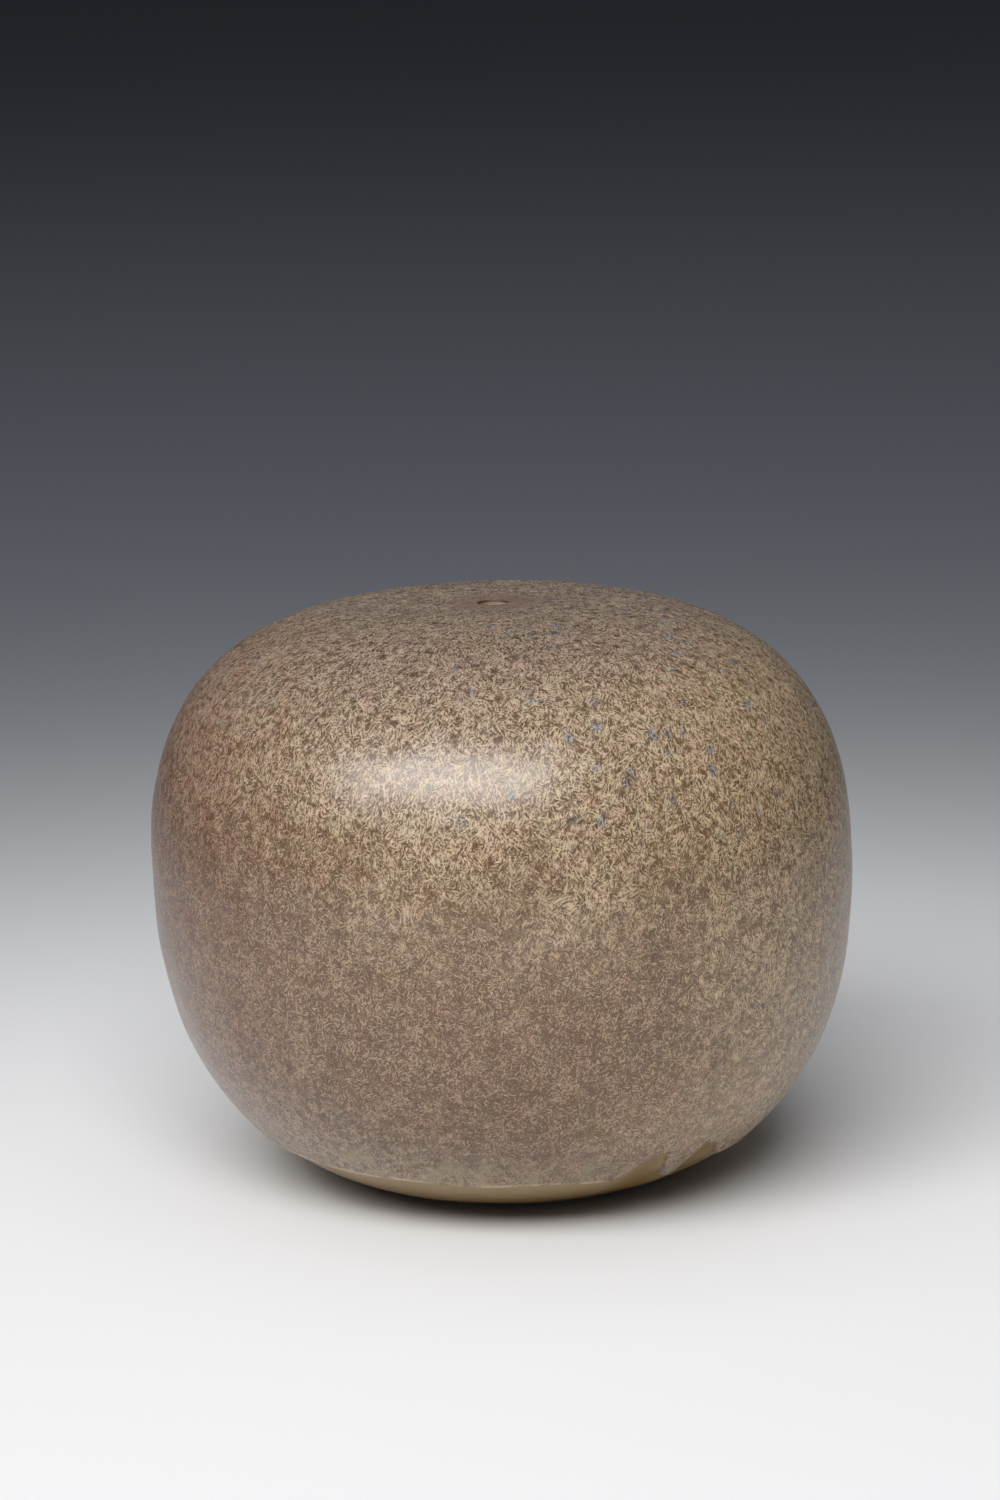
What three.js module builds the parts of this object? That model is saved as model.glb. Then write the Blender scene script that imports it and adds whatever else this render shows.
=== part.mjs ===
// Bud vase: a wheel-thrown stoneware globe that closes to a single stem hole at its crown.
// A thin base glaze and a thicker crystalline glaze coat the outside,
// and a liner glaze makes the inside hold water.
// Millimetres, +Z up, front towards -Y. The foot ring stands on Z = 0, and the Z axis runs
// through the middle of the belly.

import * as THREE from 'three';

// Thrown clay
const BELLY_RADIUS = 78.55;
const BELLY_HEIGHT = 73.5;
const CROWN_HEIGHT = 130.2;
const WALL = 6;
const LIP_ROUNDING = 0.3;
const LEAN = 0.014; // sideways drift towards -X for each millimetre of height

// Fullness of the outline's two quarters: 2 is an ellipse, and more swells it towards a square corner
const LOWER_FULLNESS_ACROSS = 1.69;
const LOWER_FULLNESS_UP = 2.47;
const UPPER_FULLNESS_ACROSS = 3.22;
const UPPER_FULLNESS_UP = 2.37;

// Trimmed foot
const FOOT_RADIUS = 30;
const FOOT_RING_WIDTH = 7;
const FOOT_HEIGHT = 2;
const FOOT_LEDGE = 3.6; // flat underside between the foot ring and the rising wall
const FOOT_RECESS = 3;
const FOOT_CHAMFER = 0.8;
const FOOT_DRAFT = 1; // how far the recess wall slopes in

// Glazes
const MOUTH_RADIUS = 3.5; // clear stem hole inside the glazed lip
const BASE_COAT = 0.25;
const CRYSTAL_COAT = 0.6;
const LINER_COAT = 0.4;
const BOND = 0.3; // clearance between a coat and what it covers
const BASE_START = 3; // distance from the ledge up to the wiped edge of the base glaze
const THROAT_GLAZE = 2; // how far the outer glazes run down the throat

// Run line, where the crystalline glaze stopped. Distances are measured up the wall from the ledge,
// and bearings turn from the front towards +X.
const RUN_DISTANCE = 25.5;
const DIP_TILT = 2.15; // the line climbs this much on the side of the dip bearing
const DIP_BEARING = THREE.MathUtils.degToRad(-60);
const RIPPLE = 0.3;
const RIPPLE_COUNT = 13;
const DRIP_BEARING = THREE.MathUtils.degToRad(37.9);
const DRIP_LENGTH = 10.1;
const DRIP_WIDTH = 8;
const DRIP_SWELL = 0.4; // extra thickness of the drip at its tip
const PULL_BACK = 7.9; // the glaze beside the drip drew up this far as the drip ran
const PULL_WIDTH = 24.7;
const BEAD_SWELL = 0.15; // extra thickness of the rolled edge
const BEAD_WIDTH = 2;
const DRIP_SHOULDER = 4; // power of the drip's bell curve: higher is squarer
const PULL_SHOULDER = 6;

// Finishes
const CLAY_FINISH = { color: 0xb39a7a, roughness: 0.9 };
const BASE_FINISH = { color: 0x85734f, roughness: 0.35 };
const CRYSTAL_FINISH = { color: 0x8f775f, roughness: 0.42 };
const LINER_FINISH = { color: 0x8c7f66, roughness: 0.35 };

// Facets
const SEGMENTS = 40;
const DRIP_SUBDIVISION = 5; // finer columns of the crystalline glaze beside the drip
const LOWER_STEPS = 8;
const UPPER_STEPS = 10;
const LIP_STEPS = 2;
const HOLLOW_STEPS = 5; // for each quarter of the hollow
const RUN_STEPS = 10; // from the run line up to the belly
const EDGE_SHARES = [0.12, 0.4, 1.2]; // stations of the rolled edge, as shares of its width

// Offsets of the coats from the clay
const BASE_INSIDE = BOND;
const BASE_OUTSIDE = BASE_INSIDE + BASE_COAT;
const CRYSTAL_INSIDE = BASE_OUTSIDE + BOND;
const CRYSTAL_OUTSIDE = CRYSTAL_INSIDE + CRYSTAL_COAT;
const LINER_OUTSIDE = WALL + BOND;
const LINER_INSIDE = LINER_OUTSIDE + LINER_COAT;

const LIP_CENTRE_RADIUS = MOUTH_RADIUS + CRYSTAL_OUTSIDE + LIP_ROUNDING;
const LEDGE_RADIUS = FOOT_RADIUS + FOOT_LEDGE;

/**
 * A quarter superellipse about a centre: (across / width) ^ m + (up / rise) ^ n = 1.
 * A negative rise runs downwards.
 */
class Quarter {
	constructor(centre, width, rise, m, n) {
		Object.assign(this, { centre, width, rise, m, n });
	}

	/** The point at a share of the quarter, from its widest point to its pole. */
	point(share) {
		const angle = share * Math.PI / 2;
		const across = Math.max(Math.cos(angle), 0) ** (2 / this.m);
		const up = Math.sin(angle) ** (2 / this.n);
		return new THREE.Vector2(this.width * across, this.rise * up).add(this.centre);
	}

	/** The outward direction there, from the gradient of the curve's equation. */
	outward(share) {
		const { x, y } = this.point(share).sub(this.centre);
		const across = this.m / this.width * Math.max(x / this.width, 0) ** (this.m - 1);
		const up = this.n / this.rise * Math.max(y / this.rise, 0) ** (this.n - 1);
		return new THREE.Vector2(across, up).normalize();
	}
}

/** The clay's outside in the half-plane of radius and height: lower and upper wall, rounded lip, throat. */
class SkinPath extends THREE.Curve {
	constructor() {
		super();
		this.arcLengthDivisions = 1200;
		this.lower = new Quarter(
			new THREE.Vector2(LEDGE_RADIUS, BELLY_HEIGHT), BELLY_RADIUS - LEDGE_RADIUS,
			FOOT_HEIGHT - BELLY_HEIGHT, LOWER_FULLNESS_ACROSS, LOWER_FULLNESS_UP
		);
		this.upper = new Quarter(
			new THREE.Vector2(LIP_CENTRE_RADIUS, BELLY_HEIGHT), BELLY_RADIUS - LIP_CENTRE_RADIUS,
			CROWN_HEIGHT - BELLY_HEIGHT, UPPER_FULLNESS_ACROSS, UPPER_FULLNESS_UP
		);
		this.lipCentre = new THREE.Vector2(LIP_CENTRE_RADIUS, CROWN_HEIGHT - LIP_ROUNDING);
		this.bellyAt = this.lengthTo(1 / 4);
		this.crownAt = this.lengthTo(2 / 4);
		this.throatAt = this.lengthTo(3 / 4);
		this.endAt = this.getLength();
	}

	/** Point and outward direction at t. Each of the four stretches takes a quarter of the range of t. */
	frame(t) {
		const stretch = Math.min(Math.floor(t * 4), 3);
		const share = t * 4 - stretch;
		if (stretch === 0) return { point: this.lower.point(1 - share), outward: this.lower.outward(1 - share) };
		if (stretch === 1) return { point: this.upper.point(share), outward: this.upper.outward(share) };
		const turn = Math.PI / 2 * (1 + Math.min(stretch + share - 2, 1));
		const outward = new THREE.Vector2(Math.cos(turn), Math.sin(turn));
		const point = this.lipCentre.clone().addScaledVector(outward, LIP_ROUNDING);
		if (stretch === 3) point.y -= share * THROAT_GLAZE;
		return { point, outward };
	}

	getPoint(t) {
		return this.frame(t).point;
	}

	/** Distance along the path to t. */
	lengthTo(t) {
		return this.getLengths()[Math.round(t * this.arcLengthDivisions)];
	}

	/** The point at a distance along the path, moved off the clay by an offset. */
	offsetPoint(distance, offset) {
		const { point, outward } = this.frame(this.getUtoTmapping(0, distance));
		return point.addScaledVector(outward, offset);
	}
}

const skin = new SkinPath();

/** Evenly spaced values from one end to the other, both included. */
function spread(from, to, steps) {
	return Array.from({ length: steps + 1 }, (_, k) => THREE.MathUtils.lerp(from, to, k / steps));
}

const upperStations = [
	...spread(skin.bellyAt, skin.crownAt, UPPER_STEPS).slice(1),
	...spread(skin.crownAt, skin.throatAt, LIP_STEPS).slice(1),
	skin.endAt
];
const lowerStations = spread(0, skin.bellyAt, LOWER_STEPS);
const hollowStations = [
	...spread(0, skin.bellyAt, HOLLOW_STEPS),
	...spread(skin.bellyAt, skin.crownAt, HOLLOW_STEPS).slice(1)
];

/** Points along the skin at the given distances, all at one offset. */
function offsetLine(distances, offset) {
	return distances.map((distance) => skin.offsetPoint(distance, offset));
}

/** Revolves an outline of (radius, height) about Z, with a column of facets at the front. */
function revolve(outline) {
	return new THREE.LatheGeometry(outline, SEGMENTS).rotateX(Math.PI / 2);
}

/** The clay body from axis to axis: recessed foot ring, outer wall, lip, throat and hollow. */
function clayGeometry() {
	const recessRadius = FOOT_RADIUS - FOOT_RING_WIDTH;
	const foot = [
		new THREE.Vector2(0, FOOT_RECESS),
		new THREE.Vector2(recessRadius - FOOT_DRAFT, FOOT_RECESS),
		new THREE.Vector2(recessRadius, 0),
		new THREE.Vector2(FOOT_RADIUS - FOOT_CHAMFER, 0),
		new THREE.Vector2(FOOT_RADIUS, FOOT_CHAMFER),
		new THREE.Vector2(FOOT_RADIUS, FOOT_HEIGHT)
	];
	const outside = offsetLine([...lowerStations, ...upperStations.slice(0, -1)], 0);
	const throatEnd = new THREE.Vector2(LIP_CENTRE_RADIUS - LIP_ROUNDING, CROWN_HEIGHT - WALL);
	const hollow = offsetLine(hollowStations, -WALL).reverse();
	const floorCentre = new THREE.Vector2(0, FOOT_HEIGHT + WALL);
	return revolve([...foot, ...outside, throatEnd, ...hollow, floorCentre]);
}

/** The base glaze: an even skin from its wiped edge above the ledge to the throat. */
function baseGlazeGeometry() {
	const stations = [BASE_START, ...lowerStations.filter((d) => d > BASE_START), ...upperStations];
	const outside = offsetLine(stations, BASE_OUTSIDE);
	const inside = offsetLine(stations, BASE_INSIDE).reverse();
	return revolve([...outside, ...inside, outside[0]]);
}

/** The liner glaze: a closed skin over the hollow's floor, wall and ceiling, open at the throat. */
function linerGeometry() {
	const outside = offsetLine(hollowStations, -LINER_OUTSIDE);
	const inside = offsetLine(hollowStations, -LINER_INSIDE).reverse();
	const floorUnderside = new THREE.Vector2(0, FOOT_HEIGHT + LINER_OUTSIDE);
	const floorTop = new THREE.Vector2(0, FOOT_HEIGHT + LINER_INSIDE);
	return revolve([floorUnderside, ...outside, ...inside, floorTop]);
}

/** The angle from the drip to a bearing, as the shorter way round. */
function fromDrip(bearing) {
	return THREE.MathUtils.euclideanModulo(bearing - DRIP_BEARING + Math.PI, 2 * Math.PI) - Math.PI;
}

const runRadius = skin.offsetPoint(RUN_DISTANCE, 0).x;
const pullHalfAngle = PULL_WIDTH / 2 / runRadius;
const dripHalfAngle = DRIP_WIDTH / 2 / runRadius;

/** 1 along the drip and 0 away from it, with round shoulders. */
function dripShare(bearing) {
	return Math.exp(-((fromDrip(bearing) / dripHalfAngle) ** DRIP_SHOULDER));
}

/**
 * Distance of the run line up the wall: a tilted, rippled line that draws up beside the drip
 * and drops along it.
 */
function runDistance(bearing) {
	const tilt = DIP_TILT * Math.cos(bearing - DIP_BEARING);
	const ripple = RIPPLE * Math.sin(RIPPLE_COUNT * bearing);
	const pull = PULL_BACK * Math.exp(-((fromDrip(bearing) / pullHalfAngle) ** PULL_SHOULDER));
	return RUN_DISTANCE + tilt + ripple + pull - DRIP_LENGTH * dripShare(bearing);
}

/** Thickness of the crystalline glaze above its edge: a rolled bead that settles to the plain coat. */
function crystalThickness(aboveEdge, bearing) {
	const roll = Math.min(aboveEdge / (BEAD_WIDTH / 2), 1);
	const bead = BEAD_SWELL * Math.exp(-((aboveEdge / BEAD_WIDTH) ** 2));
	const drip = DRIP_SWELL * dripShare(bearing) * Math.exp(-((aboveEdge / (DRIP_LENGTH / 2)) ** 2));
	return (CRYSTAL_COAT + bead + drip) * Math.sqrt(1 - (1 - roll) ** 2);
}

/** The closed outline of the crystalline glaze at one bearing: up the outside, down the inside. */
function crystalOutline(bearing) {
	const edge = runDistance(bearing);
	const wall = [...spread(edge, skin.bellyAt, RUN_STEPS).slice(1), ...upperStations];
	const rolled = EDGE_SHARES.map((share) => edge + share * BEAD_WIDTH);
	const outside = [...rolled, ...wall].map((distance) =>
		skin.offsetPoint(distance, CRYSTAL_INSIDE + crystalThickness(distance - edge, bearing)));
	const inside = offsetLine([edge, ...wall], CRYSTAL_INSIDE).reverse();
	return [...outside, ...inside];
}

/** Bearings of the crystalline glaze's columns: those of the other coats, and more beside the drip. */
function crystalBearings() {
	const step = 2 * Math.PI / SEGMENTS;
	return Array.from({ length: SEGMENTS }, (_, k) => k * step).flatMap((bearing) => {
		const fine = Math.abs(fromDrip(bearing + step / 2)) < pullHalfAngle + step;
		return fine ? spread(bearing, bearing + step, DRIP_SUBDIVISION).slice(0, -1) : [bearing];
	});
}

/** Joins the closed outlines at the bearings into a ring, splitting each quad along its shorter diagonal. */
function loftRound(bearings, outlineAt) {
	const columns = bearings.map((bearing) => outlineAt(bearing).map((p) =>
		new THREE.Vector3(p.x * Math.sin(bearing), -p.x * Math.cos(bearing), p.y)));
	const count = columns[0].length;
	const index = [];
	columns.forEach((column, i) => {
		const next = (i + 1) % columns.length;
		column.forEach((corner, j) => {
			const up = (j + 1) % count;
			const a = i * count + j;
			const b = next * count + j;
			const c = next * count + up;
			const d = i * count + up;
			const rising = corner.distanceTo(columns[next][up]);
			const falling = columns[next][j].distanceTo(column[up]);
			if (rising < falling) index.push(a, b, c, a, c, d);
			else index.push(a, b, d, b, c, d);
		});
	});
	const geometry = new THREE.BufferGeometry().setFromPoints(columns.flat());
	geometry.setIndex(index);
	geometry.computeVertexNormals();
	return geometry;
}

// The thrown form leans a little: a shear about the belly's height, the same for every layer
const lean = new THREE.Matrix4().makeTranslation(LEAN * BELLY_HEIGHT, 0, 0)
	.multiply(new THREE.Matrix4().makeShear(0, 0, 0, 0, -LEAN, 0));

/** A named piece of the vase in its own finish. */
function piece(name, geometry, finish) {
	const material = new THREE.MeshStandardMaterial({ ...finish, metalness: 0 });
	const mesh = new THREE.Mesh(geometry.applyMatrix4(lean), material);
	mesh.name = name;
	return mesh;
}

const vase = new THREE.Group();
vase.name = 'bud_vase';
vase.add(
	piece('stoneware_body', clayGeometry(), CLAY_FINISH),
	piece('base_glaze', baseGlazeGeometry(), BASE_FINISH),
	piece('crystal_glaze', loftRound(crystalBearings(), crystalOutline), CRYSTAL_FINISH),
	piece('liner_glaze', linerGeometry(), LINER_FINISH)
);

export default vase;
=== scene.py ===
"""Looks of the bud vase, in metres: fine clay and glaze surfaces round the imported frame.

The thrown wall is one outline of radius and height. Distances run along it, up the outside from
the ledge over the foot to the throat, and every coat is that outline moved off the clay and
carried round the upright axis. Bearings turn from the front (-Y) towards +X.
"""

import logging
import math
from dataclasses import dataclass, field
from enum import Enum
from typing import NamedTuple, Sequence, Union

import bpy
import numpy as np
from mathutils import Matrix, Vector


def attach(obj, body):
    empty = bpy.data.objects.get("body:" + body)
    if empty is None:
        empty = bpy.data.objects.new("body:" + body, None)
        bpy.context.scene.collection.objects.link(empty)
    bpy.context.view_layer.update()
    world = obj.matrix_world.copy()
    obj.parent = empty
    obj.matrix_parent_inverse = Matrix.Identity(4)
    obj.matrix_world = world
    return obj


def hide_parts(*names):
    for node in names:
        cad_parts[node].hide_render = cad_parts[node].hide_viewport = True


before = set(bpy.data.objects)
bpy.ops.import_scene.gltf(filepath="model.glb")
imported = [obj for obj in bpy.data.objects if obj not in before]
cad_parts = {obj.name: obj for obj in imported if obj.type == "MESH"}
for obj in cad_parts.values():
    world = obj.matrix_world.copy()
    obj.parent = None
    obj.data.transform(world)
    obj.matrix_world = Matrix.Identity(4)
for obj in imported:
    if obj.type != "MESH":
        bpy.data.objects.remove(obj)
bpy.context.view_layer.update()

MM = 0.001
BODY = "root"
LOG = logging.getLogger("bud_vase")

Colour = tuple[float, float, float, float]
Socket = bpy.types.NodeSocket
Feed = Union[float, Sequence[float], Socket]


def tint(red: int, green: int, blue: int) -> Colour:
    """Turns a display colour into the linear colour that a shader takes, by the sRGB curve.

    Args:
        red: Display value from 0 to 255.
        green: Display value from 0 to 255.
        blue: Display value from 0 to 255.

    Returns:
        The linear colour, fully opaque.
    """
    shown = np.array([red, green, blue]) / 255
    linear = np.where(shown <= 0.04045, shown / 12.92, ((shown + 0.055) / 1.055) ** 2.4)
    return (*linear.tolist(), 1.0)


def add(name: str, data: bpy.types.ID) -> bpy.types.Object:
    """Adds an object with its data to the scene."""
    thing = bpy.data.objects.new(name, data)
    bpy.context.scene.collection.objects.link(thing)
    return thing


class WallTrace(NamedTuple):
    """Samples of the clay's outline, each with its outward direction."""

    distance: np.ndarray
    radius: np.ndarray
    height: np.ndarray
    out_radius: np.ndarray
    out_height: np.ndarray


@dataclass
class ThrownWall:
    """The clay's outside in the half-plane of radius and height.

    It is two quarter superellipses that meet at the belly, then the rounded lip and the throat.
    """

    belly_radius: float = 78.55 * MM
    belly_height: float = 73.5 * MM
    crown_height: float = 130.2 * MM
    thickness: float = 6.0 * MM
    ledge_radius: float = 33.6 * MM
    foot_height: float = 2.0 * MM
    mouth_radius: float = 3.5 * MM
    finished_coat: float = 1.45 * MM
    lip_rounding: float = 0.3 * MM
    lip_fullness: float = 8.0
    throat_glaze: float = 2.0 * MM
    lean: float = 0.014
    lower_fullness: tuple[float, float] = (1.69, 2.47)
    upper_fullness: tuple[float, float] = (3.22, 2.37)
    samples: int = 3000
    trace: WallTrace = field(init=False)
    belly_at: float = field(init=False)
    crown_at: float = field(init=False)
    throat_at: float = field(init=False)
    end_at: float = field(init=False)

    def __post_init__(self) -> None:
        """Samples the four stretches, with the lip as a full corner, and measures along them."""
        lip_radius = self.mouth_radius + self.finished_coat + self.lip_rounding
        turn = np.linspace(0, math.pi / 2, self.samples)
        lower = self.quarter(turn[::-1], self.ledge_radius, self.foot_height, self.lower_fullness)
        upper = self.quarter(turn, lip_radius, self.crown_height, self.upper_fullness)
        lip_out = np.stack([-np.sin(turn), np.cos(turn)])
        lip_out /= np.sum(np.abs(lip_out) ** self.lip_fullness, axis=0) ** (1 / self.lip_fullness)
        lip_centre = np.array([[lip_radius], [self.crown_height - self.lip_rounding]])
        lip = np.concatenate([lip_centre + self.lip_rounding * lip_out, lip_out])
        throat = np.repeat(lip[:, -1:], self.samples, axis=1)
        throat[1] -= np.linspace(0, self.throat_glaze, self.samples)
        rows = np.concatenate([lower, upper[:, 1:], lip[:, 1:], throat[:, 1:]], axis=1)
        steps = np.hypot(np.diff(rows[0]), np.diff(rows[1]))
        distance = np.concatenate([[0.0], np.cumsum(steps)])
        self.trace = WallTrace(distance, *rows)
        ends = np.arange(1, 5) * (self.samples - 1)
        self.belly_at, self.crown_at, self.throat_at, self.end_at = distance[ends].tolist()

    def quarter(
        self, turn: np.ndarray, pole_radius: float, pole_height: float, fullness: tuple[float, float]
    ) -> np.ndarray:
        """Traces a quarter superellipse between the belly and a pole.

        With a turn from 0 at the belly to a right angle at the pole, the reach across is the
        cosine to the power 2 / m and the rise is the sine to the power 2 / n. The outward
        direction is the gradient of (across / width) ^ m + (up / rise) ^ n.

        Args:
            turn: Angles along the quarter.
            pole_radius: Radius where the quarter lies level.
            pole_height: Height of that point.
            fullness: The powers m across and n up.

        Returns:
            Rows of radius, height, outward radius and outward height.
        """
        m, n = fullness
        width = self.belly_radius - pole_radius
        rise = pole_height - self.belly_height
        across = np.clip(np.cos(turn), 0, None) ** (2 / m)
        up = np.sin(turn) ** (2 / n)
        gradient = np.stack([m / width * across ** (m - 1), n / rise * up ** (n - 1)])
        outward = gradient / np.hypot(*gradient)
        return np.stack([pole_radius + width * across, self.belly_height + rise * up, *outward])

    def at(
        self, distance: np.ndarray, offset: Union[float, np.ndarray]
    ) -> tuple[np.ndarray, np.ndarray]:
        """Reads the outline at distances along it, moved off the clay.

        Args:
            distance: Distances along the outline.
            offset: How far each point lies outside the clay.

        Returns:
            Radius and height, in the shape of the distances.
        """
        rows = [np.interp(distance, self.trace.distance, row) for row in self.trace[1:]]
        return rows[0] + rows[2] * offset, rows[1] + rows[3] * offset

    def place(self, radius: np.ndarray, height: np.ndarray, bearing: np.ndarray) -> np.ndarray:
        """Turns radius, height and bearing into points, with the lean as a shear about the belly.

        Args:
            radius: Distance from the upright axis.
            height: Height over the table.
            bearing: Angle from the front towards +X.

        Returns:
            Points, with their coordinates on the last axis.
        """
        x = radius * np.sin(bearing) - self.lean * (height - self.belly_height)
        y = -radius * np.cos(bearing)
        return np.stack(np.broadcast_arrays(x, y, height), axis=-1)

    def turned(self, outline: np.ndarray, columns: int) -> np.ndarray:
        """Carries an outline of radius and height round the axis, at even bearings."""
        return self.place(outline[:, 0], outline[:, 1], even_bearings(columns)[:, None])


@dataclass
class RunLine:
    """The edge where the crystalline glaze stopped, as a distance up the wall for each bearing."""

    wall: ThrownWall
    distance: float = 25.5 * MM
    tilt: float = 2.15 * MM
    tilt_bearing: float = math.radians(-60)
    ripple: float = 0.3 * MM
    ripple_count: int = 13
    drip_bearing: float = math.radians(37.9)
    drip_length: float = 11.6 * MM
    drip_width: float = 7.4 * MM
    drip_shoulder: int = 4
    pull_back: float = 7.9 * MM
    pull_width: float = 23.7 * MM
    pull_shoulder: int = 6
    samples: int = 3600
    radius: float = field(init=False)

    def __post_init__(self) -> None:
        """Keeps the wall's radius at the line, at which widths become angles."""
        self.radius = float(self.wall.at(np.array(self.distance), 0.0)[0])

    def from_drip(self, bearing: np.ndarray) -> np.ndarray:
        """Length round the wall from the drip's middle to a bearing, the shorter way."""
        turn = np.mod(bearing - self.drip_bearing + math.pi, 2 * math.pi) - math.pi
        return turn * self.radius

    def drip_share(self, bearing: np.ndarray) -> np.ndarray:
        """1 along the drip and 0 away from it, a bell curve with round shoulders."""
        return np.exp(-np.abs(self.from_drip(bearing) / (self.drip_width / 2)) ** self.drip_shoulder)

    def edge(self, bearing: np.ndarray) -> np.ndarray:
        """Works out where the glaze ends.

        The line is tilted and rippled by a cosine and a sine of the bearing. It draws up beside
        the drip by one bell curve, and drops along the drip by a narrower one.

        Args:
            bearing: Bearings round the vase.

        Returns:
            Distance of the line up the wall.
        """
        tilt = self.tilt * np.cos(bearing - self.tilt_bearing)
        ripple = self.ripple * np.sin(self.ripple_count * bearing)
        reach = np.abs(self.from_drip(bearing) / (self.pull_width / 2))
        pull = self.pull_back * np.exp(-reach ** self.pull_shoulder)
        return self.distance + tilt + ripple + pull - self.drip_length * self.drip_share(bearing)

    def clearance(self, bearing: np.ndarray, distance: np.ndarray, far: float) -> np.ndarray:
        """Measures how far points above the line lie from it on the unrolled wall.

        The wall is unrolled at the line's own radius, and the nearest of the line's samples is
        taken. Higher than the given rise, the plain rise over the line is used instead.

        Args:
            bearing: Bearings, one for each row of distances.
            distance: Distances up the wall.
            far: Rise over the line past which the nearest sample isn't looked for.

        Returns:
            Length from the line, in the shape of the distances.
        """
        turns = np.linspace(-math.pi, math.pi, self.samples, endpoint=False) + self.drip_bearing
        line = np.stack([self.from_drip(turns), self.edge(turns)], axis=-1)
        line = line[np.argsort(line[:, 0])]
        rise = np.maximum(distance - self.edge(bearing)[:, None], 0)
        across = np.broadcast_to(self.from_drip(bearing)[:, None], distance.shape)
        near = rise < far
        points = np.stack([across[near], distance[near]], axis=-1)
        window = int(far / (2 * math.pi * self.radius) * self.samples)
        first = np.searchsorted(line[:, 0], points[:, 0]) - window
        picks = np.mod(first[:, None] + np.arange(2 * window), self.samples)
        gaps = np.linalg.norm(line[picks] - points[:, None, :], axis=-1)
        rise[near] = np.minimum(rise[near], np.min(gaps, axis=1))
        return rise


@dataclass
class RoundGrid:
    """A closed surface on a grid: a row for each bearing, and the points of its outline along the row.

    The rows join up round the bearings. Without poles the outline closes on itself, as a ring
    does. With poles its first and last points lie on the axis, and each is one vertex.
    """

    points: np.ndarray
    poles: bool = False

    def listed(self, values: np.ndarray) -> np.ndarray:
        """Lists a grid of values by vertex, the poles last."""
        if not self.poles:
            return values.reshape(-1, *values.shape[2:])
        between = values[:, 1:-1].reshape(-1, *values.shape[2:])
        return np.concatenate([between, values[0, [0, -1]]])

    def faces(self) -> tuple[np.ndarray, np.ndarray]:
        """Works out the faces.

        Returns:
            Quads between the rows, and the triangles round the poles.
        """
        rows, columns = self.points.shape[:2]
        columns -= 2 * self.poles
        here = np.arange(rows * columns).reshape(rows, columns)
        turned = np.roll(here, -1, axis=0)
        along = [here, turned, np.roll(turned, -1, axis=1), np.roll(here, -1, axis=1)]
        quads = np.stack(along, axis=-1)
        if not self.poles:
            return quads.reshape(-1, 4), np.zeros((0, 3), dtype=int)
        first = np.full(rows, rows * columns)
        start = np.stack([first, turned[:, 0], here[:, 0]], axis=-1)
        end = np.stack([here[:, -1], turned[:, -1], first + 1], axis=-1)
        return quads[:, :-1].reshape(-1, 4), np.concatenate([start, end])

    def piece(self, name: str) -> bpy.types.Object:
        """Makes the smooth mesh, with its faces turned outwards.

        Args:
            name: Name of the new object.

        Returns:
            The object, at the origin, with its place in its mesh.
        """
        points = self.listed(self.points)
        quads, triangles = self.faces()
        halves = np.concatenate([quads[:, :3], quads[:, [0, 2, 3]], triangles])
        first, second, third = (points[halves[:, k]] for k in range(3))
        if np.sum(first * np.cross(second, third)) < 0:
            quads, triangles = quads[:, ::-1], triangles[:, ::-1]
        corners = np.concatenate([quads.ravel(), triangles.ravel()])
        quad_starts = np.arange(len(quads)) * 4
        triangle_starts = len(quads) * 4 + np.arange(len(triangles)) * 3
        starts = np.concatenate([quad_starts, triangle_starts])
        mesh = bpy.data.meshes.new(name)
        mesh.vertices.add(len(points))
        mesh.vertices.foreach_set("co", points.astype(np.float32).ravel())
        mesh.loops.add(len(corners))
        mesh.loops.foreach_set("vertex_index", corners.astype(np.int32))
        mesh.polygons.add(len(starts))
        mesh.polygons.foreach_set("loop_start", starts.astype(np.int32))
        mesh.polygons.foreach_set("use_smooth", np.ones(len(starts), dtype=bool))
        mesh.update(calc_edges=True)
        mesh.validate()
        return add(name, mesh)

    def mark(self, piece: bpy.types.Object, name: str, values: np.ndarray) -> None:
        """Stores a grid of values on the piece, for its finish to read.

        Args:
            piece: The piece made from this grid.
            name: Name of the attribute.
            values: One value for each point of the grid.
        """
        attribute = piece.data.attributes.new(name, "FLOAT", "POINT")
        attribute.data.foreach_set("value", self.listed(values).astype(np.float32))


def steps(start: float, end: float, count: int) -> np.ndarray:
    """Even steps that leave out the start and take in the end."""
    return np.linspace(start, end, count + 1)[1:]


def even_bearings(count: int) -> np.ndarray:
    """Bearings evenly round the vase, from the back."""
    return np.linspace(-math.pi, math.pi, count, endpoint=False)


def swells(points: np.ndarray, seed: int, lengths: tuple[float, float], count: int = 28) -> np.ndarray:
    """Gives the gentle waviness of a melted surface.

    It is a sum of plane waves with seeded random directions, lengths and phases, scaled so that
    its spread is about 1.

    Args:
        points: Points, with their coordinates on the last axis.
        seed: Seed of the random draws.
        lengths: Shortest and longest wave.
        count: Number of waves.

    Returns:
        The waviness at each point.
    """
    draws = np.random.default_rng(seed)
    directions = draws.normal(size=(count, 3))
    directions /= np.linalg.norm(directions, axis=1, keepdims=True)
    waves = 2 * math.pi * directions / draws.uniform(*lengths, size=(count, 1))
    phases = draws.uniform(0, 2 * math.pi, count)
    return np.cos(points @ waves.T + phases).sum(axis=-1) / math.sqrt(count / 2)


def seat(piece: bpy.types.Object, node: str, finish: bpy.types.Material) -> None:
    """Gives a piece its finish and sets it in the place of its CAD node.

    Args:
        piece: The fine piece.
        node: The CAD node that it stands for.
        finish: The material.
    """
    piece.data.materials.append(finish)
    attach(piece, BODY)
    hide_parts(node)
    LOG.info("%s: %d faces, for %s", piece.name, len(piece.data.polygons), node)


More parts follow.
